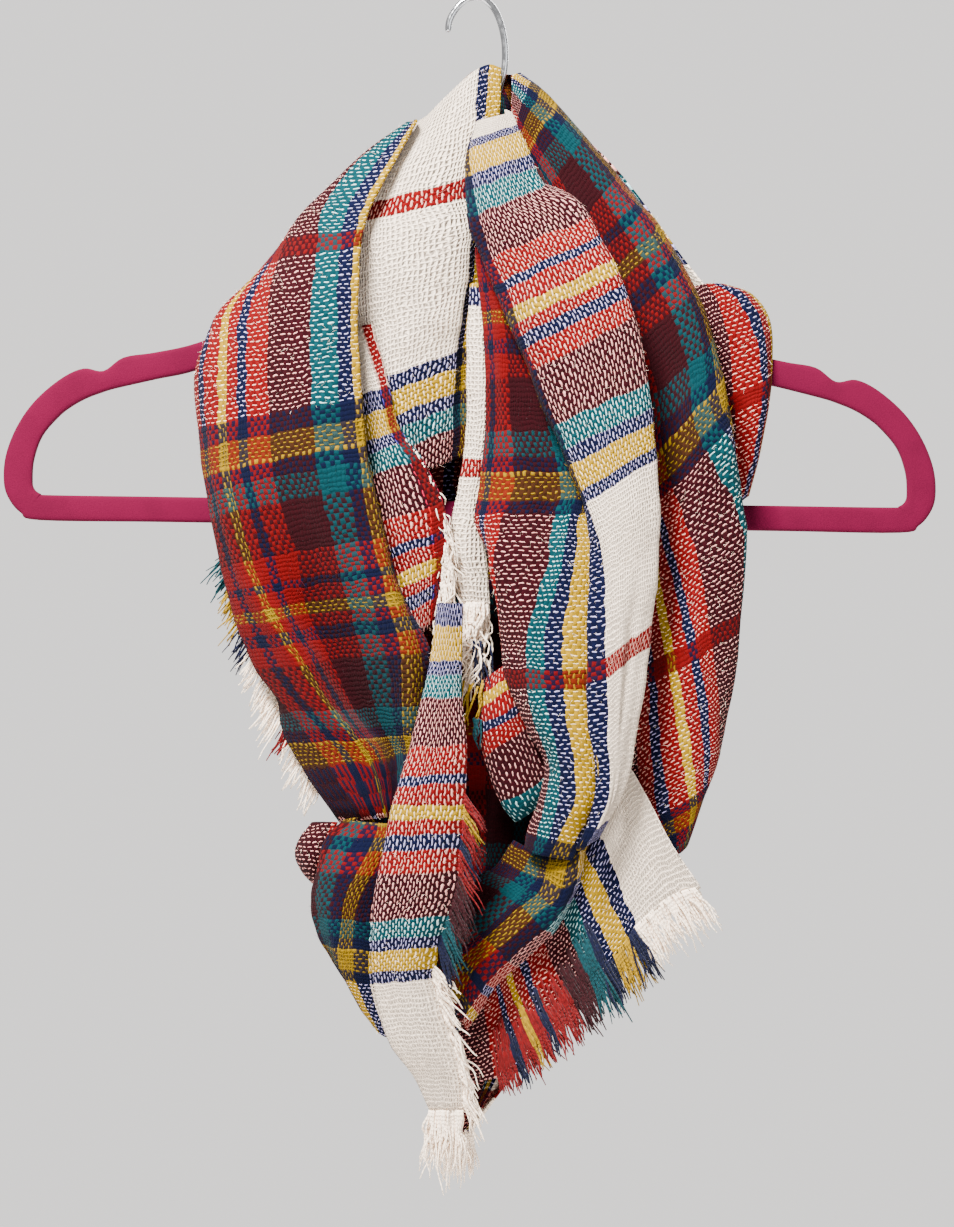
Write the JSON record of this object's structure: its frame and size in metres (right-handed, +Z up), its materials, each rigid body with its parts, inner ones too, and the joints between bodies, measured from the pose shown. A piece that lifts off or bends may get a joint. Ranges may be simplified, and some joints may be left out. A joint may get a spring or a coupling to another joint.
{
  "type": "plaid scarf on a clothes hanger",
  "caption": "Large plaid woven scarf with fringed edges, wound in overlapping folds round the middle of a plain velvet-covered clothes hanger with a wire hook.",
  "frame": {"origin": "inside top of the hook, where a rail holds the hanger", "axes": "+Z up, the pictured front faces -Y, +X to the viewer's right"},
  "size_m": [0.4448, 0.094, 0.5634],
  "materials": {
    "scarf_cloth": "woven plaid in cream, navy, mustard, teal, maroon and red, soft nap",
    "scarf_fringe": "loose yarn ends in the plaid's colours",
    "hanger_velvet": "short magenta velvet flocking",
    "hook_wire": "polished wire"
  },
  "bodies": {
    "root": {"back_panel": "scarf_cloth", "centre_band": "scarf_cloth", "centre_strip": "scarf_cloth", "cream_panel": "scarf_cloth", "fold_roll": "scarf_cloth", "fringe_back_corner": "scarf_fringe", "fringe_back_left": "scarf_fringe", "fringe_centre_strip": "scarf_fringe", "fringe_strand_end": "scarf_fringe", "fringe_strand_side": "scarf_fringe", "fringe_strand_tip": "scarf_fringe", "fringe_tail_dark": "scarf_fringe", "fringe_tail_pale": "scarf_fringe", "fringe_turned_edge": "scarf_fringe", "hanger_body": "hanger_velvet", "hanger_hook": "hook_wire", "left_lobe": "scarf_cloth", "left_strand": "scarf_cloth", "left_turned_edge": "scarf_cloth", "low_left_fold": "scarf_cloth", "opened_fold": "scarf_cloth", "right_lobe": "scarf_cloth", "right_shoulder": "scarf_cloth", "right_strand": "scarf_cloth", "right_tail": "scarf_cloth", "small_roll": "scarf_cloth"}
  },
  "joints": []
}
